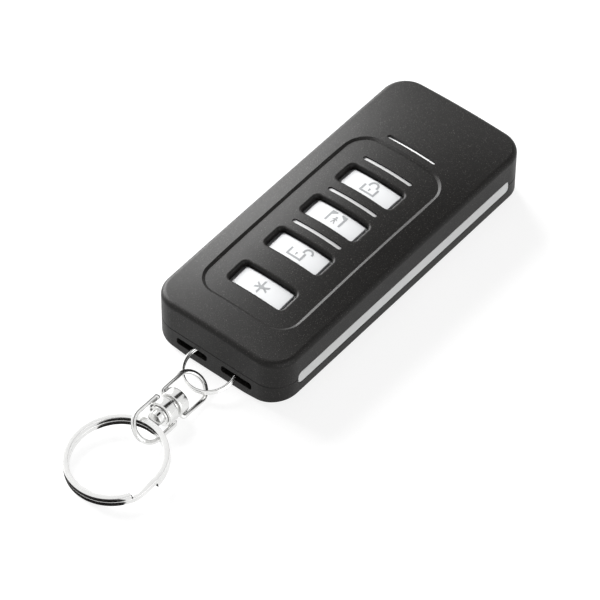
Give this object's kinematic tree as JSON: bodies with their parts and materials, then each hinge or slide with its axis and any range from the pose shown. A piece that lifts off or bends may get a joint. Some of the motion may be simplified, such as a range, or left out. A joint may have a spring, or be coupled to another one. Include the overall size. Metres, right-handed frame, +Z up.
{
  "type": "alarm key fob",
  "caption": "Pocket remote for a house alarm: crowned plastic housing with push buttons, light bars and side strips, on a split ring, swivel and key ring.",
  "frame": {"origin": "centre of the flat on the back of the housing, on the plane the fob lies on", "axes": "+Z up through the buttons, +Y along the housing away from the key ring, +X to the right seen from above"},
  "size_m": [0.03, 0.1084, 0.0136],
  "materials": {
    "housing_plastic": "fine matte texture",
    "strip_plastic": "satin light grey",
    "button_plastic": "satin white with grey printed signs",
    "guide_acrylic": "frosted white",
    "switch_plastic": "matte",
    "led_resin": "clear resin",
    "silicone_rubber": "matte",
    "board_laminate": "solder mask",
    "chip_resin": "matte",
    "can_steel": "brushed",
    "aerial_copper": "bare copper",
    "cell_steel": "brushed",
    "contact_nickel": "plated",
    "screw_steel": "dark plated",
    "ring_steel": "bright nickel plate",
    "key_ring_steel": "bright nickel plate",
    "loop_nickel": "bright nickel plate",
    "drum_nickel": "bright nickel plate",
    "rivet_nickel": "bright nickel plate"
  },
  "bodies": {
    "housing": {"front_cover": "housing_plastic", "back_cover": "housing_plastic", "side_strip_left": "strip_plastic", "side_strip_right": "strip_plastic", "light_guide_status": "guide_acrylic", "light_guide_lock": "guide_acrylic", "light_guide_stay": "guide_acrylic", "light_guide_unlock": "guide_acrylic", "circuit_board": "board_laminate", "coin_cell": "cell_steel", "cover_screws": "screw_steel", "keypad_mat": "silicone_rubber", "controller_chip": "chip_resin", "radio_chip": "chip_resin", "crystal": "can_steel", "aerial_loop": "aerial_copper", "contact_positive": "contact_nickel", "contact_negative": "contact_nickel", "switch_lock": "switch_plastic", "switch_stay": "switch_plastic", "switch_unlock": "switch_plastic", "switch_star": "switch_plastic", "led_status": "led_resin", "led_lock": "led_resin", "led_stay": "led_resin", "led_unlock": "led_resin"},
    "lock_button": {"button_lock": "button_plastic"},
    "stay_button": {"button_stay": "button_plastic"},
    "unlock_button": {"button_unlock": "button_plastic"},
    "star_button": {"button_star": "button_plastic"},
    "small_ring": {"fob_ring": "ring_steel"},
    "upper_swivel": {"swivel_upper_loop": "loop_nickel", "swivel_upper_drum": "drum_nickel", "swivel_rivet": "rivet_nickel"},
    "lower_swivel": {"swivel_lower_drum": "drum_nickel", "swivel_lower_loop": "loop_nickel"},
    "keys_ring": {"key_ring": "key_ring_steel"}
  },
  "joints": [
    {"name": "lock_press", "type": "slide", "parent": "housing", "child": "lock_button", "axis": [0, 0, -1], "range_m": [0, 0.0006], "stiffness_N_per_m": 300, "springref_m": -0.0005},
    {"name": "stay_press", "type": "slide", "parent": "housing", "child": "stay_button", "axis": [0, 0, -1], "range_m": [0, 0.0006], "stiffness_N_per_m": 300, "springref_m": -0.0005},
    {"name": "unlock_press", "type": "slide", "parent": "housing", "child": "unlock_button", "axis": [0, 0, -1], "range_m": [0, 0.0006], "stiffness_N_per_m": 300, "springref_m": -0.0005},
    {"name": "star_press", "type": "slide", "parent": "housing", "child": "star_button", "axis": [0, 0, -1], "range_m": [0, 0.0006], "stiffness_N_per_m": 300, "springref_m": -0.0005},
    {"name": "ring_tilt", "type": "hinge", "parent": "housing", "child": "small_ring", "pos_m": [0, -0.0353, 0.0032], "axis": [-1, 0, 0], "range_deg": [0, 27]},
    {"name": "swivel_hinge", "type": "hinge", "parent": "small_ring", "child": "upper_swivel", "pos_m": [0.00221, -0.04131, 0.00175], "axis": [0.8949, 0.4337, 0.1049], "range_deg": [-20, 35]},
    {"name": "swivel_spin", "type": "hinge", "parent": "upper_swivel", "child": "lower_swivel", "pos_m": [0.00018, -0.0484, 0.0028], "axis": [0.0348, -0.9956, 0.0872], "continuous": true},
    {"name": "key_ring_hinge", "type": "hinge", "parent": "lower_swivel", "child": "keys_ring", "pos_m": [0.0003, -0.05401, 0.00385], "axis": [-0.9985, 0, -0.0543], "range_deg": [-10, 50]}
  ]
}
